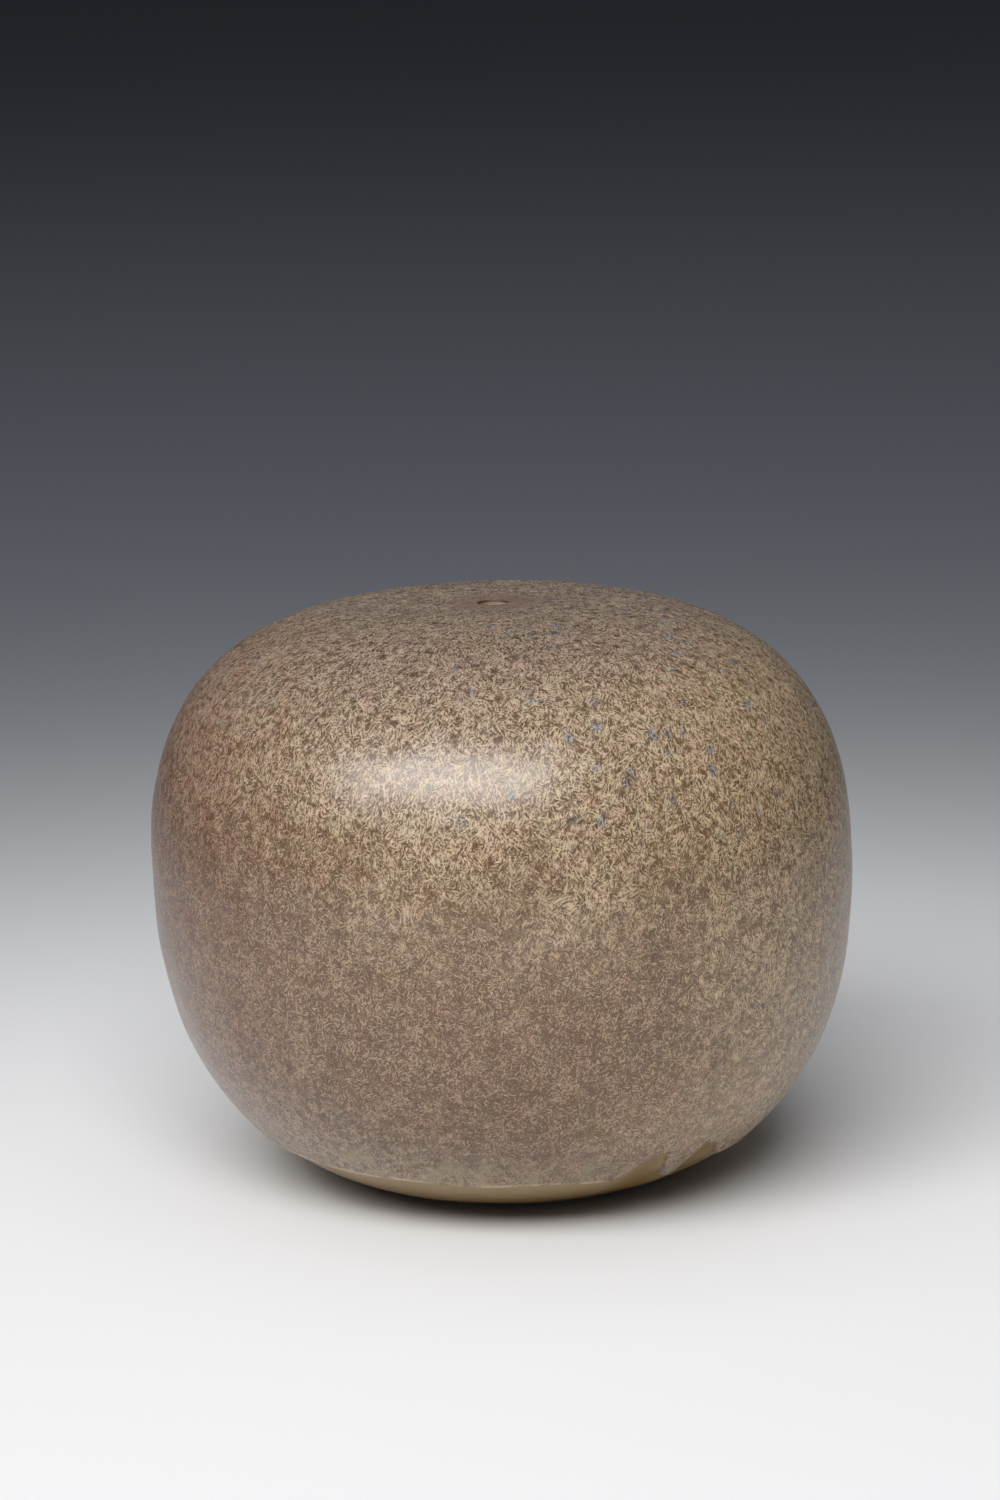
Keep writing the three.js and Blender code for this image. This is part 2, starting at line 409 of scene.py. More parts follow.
class Fade(NamedTuple):
    """A stretch over which a share eases from 0 at its start to 1 at its end."""

    start: float
    end: float


class NodeSheet:
    """A node material with one Principled shader, and short calls for the nodes that finishes use."""

    MIX_INPUTS = (0, 6, 7)
    MIX_RESULT = 2

    def __init__(self, name: str) -> None:
        """Starts the material."""
        self.material = bpy.data.materials.new(name)
        self.material.use_nodes = True
        self.tree = self.material.node_tree
        self.shader = self.tree.nodes["Principled BSDF"]

    def node(self, kind: str, **settings: object) -> bpy.types.Node:
        """Adds a node of a kind, with its settings."""
        node = self.tree.nodes.new("ShaderNode" + kind)
        for name, value in settings.items():
            setattr(node, name, value)
        return node

    def feed(self, socket: Socket, value: Feed) -> None:
        """Links a socket to another node's output, or sets its value."""
        if isinstance(value, Socket):
            self.tree.links.new(value, socket)
        else:
            socket.default_value = value

    def math(self, step: str, *values: Feed) -> Socket:
        """Adds a step of arithmetic and gives its result."""
        node = self.node("Math", operation=step)
        for socket, value in zip(node.inputs, values):
            self.feed(socket, value)
        return node.outputs[0]

    def vector(self, step: str, *values: Feed) -> Socket:
        """Adds a step of vector arithmetic and gives its result."""
        node = self.node("VectorMath", operation=step)
        for socket, value in zip(node.inputs, values):
            self.feed(socket, value)
        return node.outputs["Value" if step in ("DOT_PRODUCT", "LENGTH") else "Vector"]

    def weighted(self, *terms: tuple[Feed, float]) -> Socket:
        """Adds up values, each times its weight."""
        total: Feed = 0.0
        for value, weight in terms:
            total = self.math("MULTIPLY_ADD", value, weight, total)
        return total

    def product(self, first: Feed, *others: Feed) -> Socket:
        """Multiplies values."""
        for other in others:
            first = self.math("MULTIPLY", first, other)
        return first

    def largest(self, first: Feed, *others: Feed) -> Socket:
        """Takes the largest of values."""
        for other in others:
            first = self.math("MAXIMUM", first, other)
        return first

    def share(self, value: Feed, fade: Fade) -> Socket:
        """Eases a value to a share from 0 to 1 over a stretch."""
        node = self.node("MapRange", interpolation_type="SMOOTHSTEP")
        self.feed(node.inputs["Value"], value)
        self.feed(node.inputs["From Min"], fade.start)
        self.feed(node.inputs["From Max"], fade.end)
        return node.outputs["Result"]

    def blend(self, share: Feed, first: Feed, second: Feed) -> Socket:
        """Mixes two colours, from the first at 0 to the second at 1."""
        node = self.node("Mix", data_type="RGBA")
        for index, value in zip(self.MIX_INPUTS, (share, first, second)):
            self.feed(node.inputs[index], value)
        return node.outputs[self.MIX_RESULT]

    def mixed(self, share: Feed, first: Feed, second: Feed) -> Socket:
        """Mixes two values, from the first at 0 to the second at 1."""
        return self.math("MULTIPLY_ADD", share, self.math("SUBTRACT", second, first), first)

    def place(self) -> Socket:
        """Place on the piece, in metres."""
        return self.node("TexCoord").outputs["Object"]

    def normal(self) -> Socket:
        """Direction square to the surface."""
        return self.node("NewGeometry").outputs["Normal"]

    def spoke(self, where: Feed) -> Socket:
        """The level part of a place, from the upright axis."""
        return self.vector("MULTIPLY", where, (1.0, 1.0, 0.0))

    def parts(self, vector: Feed) -> tuple[Socket, ...]:
        """The three parts of a vector."""
        node = self.node("SeparateXYZ")
        self.feed(node.inputs[0], vector)
        return tuple(node.outputs)

    def combined(self, *values: Feed) -> Socket:
        """A vector from its three parts."""
        node = self.node("CombineXYZ")
        for socket, value in zip(node.inputs, values):
            self.feed(socket, value)
        return node.outputs[0]

    def mark(self, name: str) -> Socket:
        """A value stored on the piece's points."""
        return self.node("Attribute", attribute_name=name).outputs["Fac"]

    def noise(
        self, where: Feed, size: float, detail: float = 2.0, flat: bool = False
    ) -> Socket:
        """Cloudy noise about 0.5, with lumps of a size in metres."""
        node = self.node("TexNoise", noise_dimensions="2D" if flat else "3D")
        self.feed(node.inputs["Vector"], where)
        self.feed(node.inputs["Scale"], 1 / size)
        self.feed(node.inputs["Detail"], detail)
        return node.outputs["Fac"]

    def cast(self, where: Feed, size: float, spread: float) -> Socket:
        """Soft colours about white, in lumps of a size in metres."""
        node = self.noise(where, size).node
        return self.vector("MULTIPLY_ADD", node.outputs["Color"], (spread,) * 3, (1 - spread / 2,) * 3)

    def cells(self, where: Feed, size: float) -> bpy.types.Node:
        """Random cells of a size in metres, each with its own colour and middle."""
        node = self.node("TexVoronoi")
        self.feed(node.inputs["Vector"], where)
        self.feed(node.inputs["Scale"], 1 / size)
        return node

    def bump(self, height: Feed, depth: float) -> None:
        """Roughens the shader's surface by a height from 0 to 1 times a depth in metres."""
        node = self.node("Bump")
        self.feed(node.inputs["Height"], height)
        self.feed(node.inputs["Distance"], depth)
        self.feed(self.shader.inputs["Normal"], node.outputs["Normal"])

    def shade(self, **values: Feed) -> bpy.types.Material:
        """Feeds the shader's sockets, named with _ for a space, and gives the material."""
        for name, value in values.items():
            self.feed(self.shader.inputs[name.replace("_", " ")], value)
        return self.material


class NeedleBed(NamedTuple):
    """How crystals lie: in beds of parallel crystals, each bed at its own angle to the way downhill."""

    bed: float
    length: float
    width: float
    downhill: float


class Needles(Enum):
    """The needle beds of the crystalline glaze, and the single slits and strokes among them."""

    LONG = NeedleBed(bed=2.6 * MM, length=2.3 * MM, width=0.36 * MM, downhill=0.55)
    SHORT = NeedleBed(bed=1.7 * MM, length=1.5 * MM, width=0.32 * MM, downhill=0.25)
    THIN = NeedleBed(bed=1.5 * MM, length=1.3 * MM, width=0.30 * MM, downhill=0.20)
    FINE = NeedleBed(bed=1.1 * MM, length=0.7 * MM, width=0.25 * MM, downhill=0.30)
    SLIT = NeedleBed(bed=2.7 * MM, length=1.2 * MM, width=0.22 * MM, downhill=0.60)
    STROKE = NeedleBed(bed=2.0 * MM, length=0.8 * MM, width=0.18 * MM, downhill=0.20)


class SpotBed(NamedTuple):
    """How soft spots are scattered: usual spacing, largest radius and share of cells without one."""

    spacing: float
    size: float
    rarity: float


class Spots(Enum):
    """The spots of the crystalline glaze: dark clots among the needles, and blue-grey specks."""

    CLOT = SpotBed(spacing=4.4 * MM, size=0.95 * MM, rarity=0.2)
    SPECK = SpotBed(spacing=8.0 * MM, size=1.5 * MM, rarity=0.5)


class Mottle(NamedTuple):
    """Colours of one zone of the crystalline glaze: the glass between the needles, and the needles."""

    ground: Colour
    needle: Colour


class Stain(NamedTuple):
    """A single colour laid over the mottle, and how strongly."""

    colour: Colour
    strength: float


class Zones(NamedTuple):
    """How far a place belongs to each zone of the crystalline glaze, from 0 to 1."""

    belt: Socket
    upper: Socket
    right: Socket
    # Painted light: the share of the lighter palette beside the drip.
    painted_light_near_drip: Socket
    crown: Socket
    flush: Socket
    mouth: Socket


@dataclass(frozen=True)
class ZoneFades:
    """Where the zones and the stains of the crystalline glaze lie: the stretch each fades in over."""

    upper_height: Fade = Fade(76 * MM, 132 * MM)
    crown_radius: Fade = Fade(84 * MM, 44 * MM)
    right_side: Fade = Fade(25 * MM, 75 * MM)
    flush_side: Fade = Fade(76 * MM, 122 * MM)
    belt_rise: Fade = Fade(13 * MM, 2 * MM)
    # Painted light: where the lighter palette beside the drip lies.
    painted_light_width: Fade = Fade(36 * MM, 8 * MM)
    painted_light_rise: Fade = Fade(46 * MM, 14 * MM)
    speck_left: Fade = Fade(-24 * MM, 4 * MM)
    speck_right: Fade = Fade(68 * MM, 52 * MM)
    speck_height: Fade = Fade(76 * MM, 98 * MM)
    mouth_radius: Fade = Fade(15 * MM, 6 * MM)
    pool_fold: Fade = Fade(0.54, 0.62)
    pool_beside: Fade = Fade(15 * MM, 26 * MM)
    pool_top: Fade = Fade(14 * MM, 8 * MM)
    pool_foot: Fade = Fade(0.5 * MM, 2.5 * MM)
    # Painted highlight: where the pale line along the rolled edge lies.
    edge_highlight_rise: Fade = Fade(2.2 * MM, 0.9 * MM)
    edge_highlight_patch: Fade = Fade(0.35, 0.6)
    edge_highlight_beside: Fade = Fade(14 * MM, 20 * MM)
    amber_rise: Fade = Fade(1.8 * MM, 0.4 * MM)
    amber_outside: Fade = Fade(15 * MM, 10 * MM)
    amber_inside: Fade = Fade(3 * MM, 6 * MM)
    tip_width: Fade = Fade(3.8 * MM, 2.4 * MM)
    tip_rise: Fade = Fade(7.5 * MM, 3.0 * MM)
    rim_depth: Fade = Fade(0.12 * MM, 0.28 * MM)
    throat_depth: Fade = Fade(0.55 * MM, 0.9 * MM)


@dataclass(frozen=True)
class CrystalFinish:
    """Satin glaze: tan needles crowded on a brown ground, grey specks and a softer belt at its edge."""

    fades: ZoneFades = ZoneFades()
    upper: Mottle = Mottle(tint(98, 71, 50), tint(204, 182, 152))
    lower: Mottle = Mottle(tint(98, 71, 50), tint(176, 149, 121))
    right: Mottle = Mottle(tint(95, 70, 46), tint(207, 181, 147))
    crown: Mottle = Mottle(tint(77, 56, 41), tint(179, 158, 137))
    # Painted light: a lighter palette beside the drip, standing in for light that the lower wall there
    # lacks.
    painted_light_near_drip: Mottle = Mottle(tint(114, 87, 61), tint(208, 180, 147))
    flush: Mottle = Mottle(tint(91, 63, 46), tint(168, 139, 117))
    belt: Mottle = Mottle(tint(122, 92, 58), tint(186, 154, 114))
    speck: Mottle = Mottle(tint(60, 67, 82), tint(160, 156, 152))
    mouth: Stain = Stain(tint(123, 99, 86), 0.7)
    pooled: Stain = Stain(tint(146, 133, 104), 0.65)
    # Painted highlight: a pale line along the rolled edge, where it would catch the light.
    edge: Stain = Stain(tint(204, 183, 146), 0.8)
    amber: Stain = Stain(tint(116, 96, 54), 0.7)
    drip_tip: Stain = Stain(tint(126, 117, 115), 0.7)
    rim: Colour = tint(78, 53, 38)
    throat: Colour = tint(164, 139, 118)
    broad_size: float = 24 * MM
    patch_size: float = 8 * MM
    clump_size: float = 5.5 * MM
    knot_size: float = 2.0 * MM
    grain_size: float = 0.9 * MM
    peel_size: float = 3.5 * MM
    cast_size: float = 4 * MM
    cast_spread: float = 0.2
    left_from: float = -20 * MM
    right_crowding: float = 0.7
    dense_level: Fade = Fade(0.71, 1.11)
    sparse_level: Fade = Fade(0.62, 1.0)
    patchy_level: Fade = Fade(0.55, 1.15)
    strength_level: Fade = Fade(0.1, 0.6)
    spot_raggedness: float = 1.6
    slit_strength: float = 0.7
    clot_strength: float = 0.75
    stroke_strength: float = 0.9
    speck_strength: float = 0.75
    shift_along: float = 90.0
    shift_across: float = 70.0
    curtain_radius: float = 45 * MM
    curtain_stretch: float = 0.35
    curtain_fold: float = 2.5 * MM
    relief: float = 0.025 * MM

    def material(self) -> bpy.types.Material:
        """Builds the finish."""
        return CrystalSheet(self).finished()


class CrystalSheet(NodeSheet):
    """The nodes of the crystalline glaze, with what they read off the surface.

    The lengths are to the right, up, level from the axis, from the run line and from the drip.
    The last five values are cloudy noises from broad to fine.
    """

    def __init__(self, finish: CrystalFinish) -> None:
        """Reads the surface. Downhill is square to its normal and to the level line through the place.

        Args:
            finish: The finish to build.
        """
        super().__init__("crystal_glaze_satin")
        self.finish = finish
        self.where = self.place()
        self.facing = self.normal()
        level = self.vector("NORMALIZE", self.vector("CROSS_PRODUCT", self.facing, (0.0, 0.0, 1.0)))
        self.downhill = self.vector("CROSS_PRODUCT", level, self.facing)
        self.side, _, self.height = self.parts(self.where)
        self.from_axis = self.vector("LENGTH", self.spoke(self.where))
        self.above_edge = self.mark("above_edge")
        self.off_drip = self.mark("off_drip")
        self.broad = self.noise(self.where, finish.broad_size)
        self.patch = self.noise(self.where, finish.patch_size)
        self.clump = self.noise(self.where, finish.clump_size, detail=1.0)
        self.knots = self.noise(self.where, finish.knot_size, detail=1.0)
        self.grain = self.noise(self.where, finish.grain_size)

    def zones(self) -> Zones:
        """Works out the zones. Noise blurs their borders, and the upper one starts higher at the left.

        Returns:
            The share of each zone.
        """
        fades = self.finish.fades
        leftwards = self.math("MINIMUM", self.math("SUBTRACT", self.side, self.finish.left_from), 0.0)
        upper = self.weighted((self.height, 1.0), (leftwards, 0.3), (self.broad, 50 * MM))
        right = self.weighted((self.side, 1.0), (self.broad, 30 * MM))
        crown = self.weighted((self.from_axis, 1.0), (self.side, 0.2))
        flush = self.weighted((self.side, -1.0), (self.broad, 40 * MM), (self.patch, 50 * MM))
        # Painted light: the lower wall beside the drip is coloured lighter, as if better lit.
        painted_light_width = self.share(self.off_drip, fades.painted_light_width)
        return Zones(
            belt=self.share(self.above_edge, fades.belt_rise),
            upper=self.share(upper, fades.upper_height),
            right=self.share(right, fades.right_side),
            painted_light_near_drip=self.product(painted_light_width, self.share(self.above_edge, fades.painted_light_rise)),
            crown=self.share(crown, fades.crown_radius),
            flush=self.share(flush, fades.flush_side),
            mouth=self.share(self.from_axis, fades.mouth_radius),
        )

    def laid(self, kind: Needles) -> tuple[Socket, ...]:
        """Splits the surface into beds, each with its own heading.

        Space is split into random cells. Each cell's colour gives a heading, which leans towards
        the way downhill and is laid flat on the surface.

        Args:
            kind: Which crystals.

        Returns:
            The cell's colour, and the place from the cell's middle along and across its heading.
        """
        bed = kind.value
        cells = self.cells(self.where, bed.bed)
        offset = self.vector("SUBTRACT", self.where, cells.outputs["Position"])
        draw = self.vector("SUBTRACT", cells.outputs["Color"], (0.5, 0.5, 0.5))
        heading = self.vector("MULTIPLY_ADD", self.downhill, (bed.downhill,) * 3, draw)
        side = self.vector("NORMALIZE", self.vector("CROSS_PRODUCT", self.facing, heading))
        along = self.vector("CROSS_PRODUCT", side, self.facing)
        places = [self.vector("DOT_PRODUCT", offset, axis) for axis in (along, side)]
        return cells.outputs["Color"], *places

    def needles(self, kind: Needles) -> Socket:
        """Lays crowded needles as noise stretched along each bed's heading and shifted at random.

        Args:
            kind: Which crystals.

        Returns:
            About 0.5, and high on the needles.
        """
        bed = kind.value
        colour, along, side = self.laid(kind)
        red, green, _ = self.parts(colour)
        length = self.weighted((along, 1 / bed.length), (red, self.finish.shift_along))
        width = self.weighted((side, 1 / bed.width), (green, self.finish.shift_across))
        return self.noise(self.combined(length, width, 0.0), 1.0, detail=1.0, flat=True)

    def single(self, kind: Needles) -> Socket:
        """Lays one thin crystal in each bed, with soft edges and of random strength.

        Args:
            kind: Which crystals.

        Returns:
            Up to 1 on a crystal and 0 off it.
        """
        bed = kind.value
        colour, along, side = self.laid(kind)
        strength, _, _ = self.parts(colour)
        narrow = self.share(self.math("ABSOLUTE", side), Fade(bed.width, 0.3 * bed.width))
        short = self.share(self.math("ABSOLUTE", along), Fade(bed.length, 0.5 * bed.length))
        return self.product(narrow, short, self.share(strength, self.finish.strength_level))

    def spots(self, kind: Spots) -> Socket:
        """Scatters soft round spots.

        Each random cell of space holds one spot about its middle, seen flat on the surface, of
        random size and strength, and ragged because its reach is shaken by noise.

        Args:
            kind: Which spots.

        Returns:
            Up to 1 in a spot and 0 outside it.
        """
        spacing, size, rarity = kind.value
        cells = self.cells(self.where, spacing)
        offset = self.vector("SUBTRACT", self.where, cells.outputs["Position"])
        lift = self.vector("DOT_PRODUCT", offset, self.facing)
        whole_square = self.vector("DOT_PRODUCT", offset, offset)
        flat_square = self.math("SUBTRACT", whole_square, self.product(lift, lift))
        reach_off = self.math("SQRT", self.math("MAXIMUM", flat_square, 0.0))
        shake = self.finish.spot_raggedness * size
        ragged = self.weighted((self.grain, shake), (1.0, -shake / 2))
        size_draw, strength_draw, _ = self.parts(cells.outputs["Color"])
        reach = self.weighted((size_draw, 0.5 * size), (1.0, 0.5 * size))
        inside = self.math("SUBTRACT", reach, self.math("ADD", reach_off, ragged))
        spot = self.share(inside, Fade(-0.4 * size, 0.5 * size))
        return self.product(spot, self.share(strength_draw, Fade(rarity, 0.5 + rarity / 2)))

    def crystals(self, crowded: Socket) -> Socket:
        """Lays all the crystals.

        Long and short beds with fine needles between them felt together where crystals crowd, and
        thin beds lie elsewhere. Knots and clumps gather them, and a power thins the sparse ones.
        Slits and clots part the crowded ones, and bright strokes lie over all.

        Args:
            crowded: Where crystals crowd, from 0 to 1.

        Returns:
            1 on a crystal and 0 on the ground.
        """
        finish = self.finish
        kinds = (Needles.LONG, Needles.SHORT, Needles.THIN, Needles.FINE)
        long, short, thin, fine = (self.needles(kind) for kind in kinds)
        felt = self.largest(long, short)
        dense = self.weighted((felt, 1.0), (fine, 0.35), (self.knots, 0.25), (self.clump, 0.1))
        thin_felt = self.largest(thin, fine)
        sparse = self.weighted((thin_felt, 1.0), (self.knots, 0.25), (self.clump, 0.15))
        patchy = self.weighted((crowded, 1.0), (self.knots, 0.6), (self.clump, 0.1))
        laid = self.mixed(
            self.share(patchy, finish.patchy_level),
            self.share(sparse, finish.sparse_level),
            self.share(dense, finish.dense_level),
        )
        thinned = self.math("POWER", laid, self.weighted((crowded, -0.6), (1.0, 1.8)))
        slit = self.product(self.single(Needles.SLIT), finish.slit_strength)
        clot = self.product(self.spots(Spots.CLOT), finish.clot_strength)
        gap = self.product(self.largest(slit, clot), crowded)
        stroke = self.product(self.single(Needles.STROKE), finish.stroke_strength)
        return self.largest(self.product(thinned, self.math("SUBTRACT", 1.0, gap)), stroke)

    def mottled(self, zones: Zones, crystals: Socket) -> Socket:
        """Colours the ground and the crystals zone by zone, with a soft cast over both.

        Args:
            zones: The share of each zone.
            crystals: Where the crystals lie, from 0 to 1.

        Returns:
            The colour.
        """
        finish = self.finish
        fades = finish.fades
        speck = self.product(
            self.spots(Spots.SPECK),
            self.share(self.side, fades.speck_left),
            self.share(self.side, fades.speck_right),
            self.share(self.height, fades.speck_height),
            finish.speck_strength,
        )
        layers = (
            (zones.belt, finish.belt),
            (zones.upper, finish.upper),
            (zones.right, finish.right),
            (zones.painted_light_near_drip, finish.painted_light_near_drip),
            (zones.crown, finish.crown),
            (zones.flush, finish.flush),
            (speck, finish.speck),
        )
        ground: Feed = finish.lower.ground
        needle: Feed = finish.lower.needle
        for share, mottle in layers:
            ground = self.blend(share, ground, mottle.ground)
            needle = self.blend(share, needle, mottle.needle)
        colour = self.blend(crystals, ground, needle)
        cast = self.cast(self.where, finish.cast_size, finish.cast_spread)
        return self.vector("MULTIPLY", colour, cast)

    def stained(self, zones: Zones, colour: Socket) -> Socket:
        """Lays the single colours over the mottle.

        They are the plain mouth, glaze that pooled in upright folds over the edge, a painted highlight
        along the rolled edge, the amber edge that thinned beside the drip, and the drip's tip.

        Args:
            zones: The share of each zone.
            colour: The mottle's colour.

        Returns:
            The colour.
        """
        finish = self.finish
        fades = finish.fades
        outwards = self.vector("NORMALIZE", self.spoke(self.where))
        upright = self.combined(0.0, 0.0, self.product(self.height, finish.curtain_stretch))
        curtain = self.vector("MULTIPLY_ADD", outwards, (finish.curtain_radius,) * 3, upright)
        folds = self.noise(curtain, finish.curtain_fold, detail=0.0)
        pooled = self.product(
            self.share(folds, fades.pool_fold),
            self.share(self.off_drip, fades.pool_beside),
            self.share(self.above_edge, fades.pool_top),
            self.share(self.above_edge, fades.pool_foot),
        )
        # Painted highlight: a pale line just above the rolled edge, in patches.
        rolled = self.product(
            self.share(self.above_edge, fades.edge_highlight_rise),
            self.share(self.patch, fades.edge_highlight_patch),
            self.share(self.off_drip, fades.edge_highlight_beside),
        )
        thinned = self.product(
            self.share(self.above_edge, fades.amber_rise),
            self.share(self.off_drip, fades.amber_outside),
            self.share(self.off_drip, fades.amber_inside),
        )
        dripped = self.product(
            self.share(self.off_drip, fades.tip_width),
            self.share(self.mark("up_drip"), fades.tip_rise),
        )
        layers = (
            (zones.mouth, finish.mouth),
            (pooled, finish.pooled),
            (rolled, finish.edge),
            (thinned, finish.amber),
            (dripped, finish.drip_tip),
        )
        for share, stain in layers:
            colour = self.blend(self.product(share, stain.strength), colour, stain.colour)
        return colour

    def finished(self) -> bpy.types.Material:
        """Lays the crystals and the colours, with satin roughness and a fine relief.

        Returns:
            The material.
        """
        finish = self.finish
        zones = self.zones()
        crowded_right = self.product(zones.right, finish.right_crowding)
        crowded = self.largest(zones.upper, zones.crown, crowded_right)
        crystals = self.crystals(crowded)
        colour = self.mottled(zones, crystals)
        colour = self.stained(zones, colour)
        depth = self.mark("throat_depth")
        below_rim = self.share(depth, finish.fades.rim_depth)
        colour = self.blend(below_rim, colour, finish.rim)
        in_throat = self.share(depth, finish.fades.throat_depth)
        colour = self.blend(in_throat, colour, finish.throat)
        plain = self.largest(zones.mouth, zones.belt)
        rough = self.weighted(
            (crystals, 0.12), (self.clump, 0.16), (plain, 0.05), (below_rim, 0.3), (1.0, 0.125)
        )
        peel = self.noise(self.where, finish.peel_size, detail=1.0)
        self.bump(self.weighted((crystals, 0.6), (self.grain, 0.4), (peel, 2.5)), finish.relief)
        return self.shade(Base_Color=colour, Roughness=rough, IOR=1.6)


@dataclass(frozen=True)
class BaseFinish:
    """Smooth thin olive-buff glaze, with painted shade darkening it towards the foot, and darker and
    more amber where it pooled beside the drip.
    """

    # The thick colour is painted shade: the band darkens below the run line as if in the vase's contact
    # shadow.
    thin: Colour = tint(153, 130, 90)
    thick: Colour = tint(117, 92, 53)
    pool: Colour = tint(120, 89, 22)
    freckle: Colour = tint(108, 88, 60)
    shade_reach_below: float = 14 * MM
    cloud_size: float = 7 * MM
    fleck_size: float = 0.8 * MM
    ripple_size: float = 2.5 * MM
    pool_width: Fade = Fade(17 * MM, 8 * MM)
    pool_cloud: Fade = Fade(0.2, 0.55)
    pool_right: Fade = Fade(0.0, 6 * MM)
    fleck_level: Fade = Fade(0.60, 0.70)
    fleck_strength: float = 0.08
    relief: float = 0.01 * MM

    def material(self) -> bpy.types.Material:
        """Builds the finish.

        Returns:
            The material.
        """
        sheet = NodeSheet("base_glaze_olive")
        where = sheet.place()
        cloud = sheet.noise(where, self.cloud_size, detail=1.0)
        below = sheet.mark("below_run")
        # Painted shade: the colour darkens with distance below the run line, towards the foot, varied
        # at random by the cloud.
        depth = sheet.weighted((below, 1 / self.shade_reach_below), (cloud, 0.3), (1.0, -0.15))
        colour = sheet.blend(sheet.share(depth, Fade(0.0, 1.0)), self.thin, self.thick)
        right_share = sheet.share(sheet.mark("right_of_drip"), self.pool_right)
        pooled = sheet.product(
            sheet.share(sheet.mark("off_drip"), self.pool_width),
            sheet.share(cloud, self.pool_cloud),
            sheet.weighted((right_share, 0.25), (1.0, 0.7)),
        )
        colour = sheet.blend(pooled, colour, self.pool)
        fleck = sheet.share(sheet.noise(where, self.fleck_size), self.fleck_level)
        colour = sheet.blend(sheet.product(fleck, self.fleck_strength), colour, self.freckle)
        rough = sheet.weighted((cloud, 0.10), (fleck, 0.04), (1.0, 0.25))
        sheet.bump(sheet.noise(where, self.ripple_size, detail=1.0), self.relief)
        return sheet.shade(Base_Color=colour, Roughness=rough, IOR=1.5)


@dataclass(frozen=True)
class ClayFinish:
    """Bare fired stoneware: matt buff clay with grog, toasted in patches, with fine trimming rings."""

    body: Colour = tint(176, 150, 118)
    toast: Colour = tint(146, 108, 76)
    grog: Colour = tint(96, 74, 56)
    toast_size: float = 18 * MM
    grog_size: float = 0.7 * MM
    ring_size: float = 0.8 * MM
    grain_size: float = 0.5 * MM
    toast_level: Fade = Fade(0.4, 0.65)
    grog_level: Fade = Fade(0.60, 0.68)
    grog_strength: float = 0.6
    relief: float = 0.12 * MM

    def material(self) -> bpy.types.Material:
        """Builds the finish.

        Returns:
            The material.
        """
        sheet = NodeSheet("bare_stoneware")
        where = sheet.place()
        patch = sheet.share(sheet.noise(where, self.toast_size, detail=3.0), self.toast_level)
        colour = sheet.blend(patch, self.body, self.toast)
        grog = sheet.share(sheet.noise(where, self.grog_size), self.grog_level)
        colour = sheet.blend(sheet.product(grog, self.grog_strength), colour, self.grog)
        across = sheet.vector("LENGTH", sheet.spoke(where))
        rings = sheet.noise(sheet.combined(across, 0.0, 0.0), self.ring_size)
        rough = sheet.weighted((patch, -0.10), (grog, 0.05), (1.0, 0.88))
        grain = sheet.noise(where, self.grain_size, detail=3.0)
        sheet.bump(sheet.weighted((rings, 0.5), (grain, 0.5)), self.relief)
        return sheet.shade(Base_Color=colour, Roughness=rough, IOR=1.45)


@dataclass(frozen=True)
class LinerFinish:
    """Smooth semi-gloss liner glaze, a little streaked where it was poured round."""

    thin: Colour = tint(158, 146, 120)
    thick: Colour = tint(124, 112, 86)
    streak_size: float = 6 * MM
    streak_stretch: tuple[float, float, float] = (1.0, 1.0, 0.3)
    streak_level: Fade = Fade(0.35, 0.65)
    ripple_size: float = 2 * MM
    relief: float = 0.04 * MM

    def material(self) -> bpy.types.Material:
        """Builds the finish.

        Returns:
            The material.
        """
        sheet = NodeSheet("liner_glaze_gloss")
        where = sheet.place()
        stretched = sheet.vector("MULTIPLY", where, self.streak_stretch)
        streak = sheet.noise(stretched, self.streak_size, detail=3.0)
        colour = sheet.blend(sheet.share(streak, self.streak_level), self.thin, self.thick)
        rough = sheet.weighted((streak, 0.2), (1.0, 0.18))
        sheet.bump(sheet.noise(where, self.ripple_size), self.relief)
        return sheet.shade(Base_Color=colour, Roughness=rough, IOR=1.5)


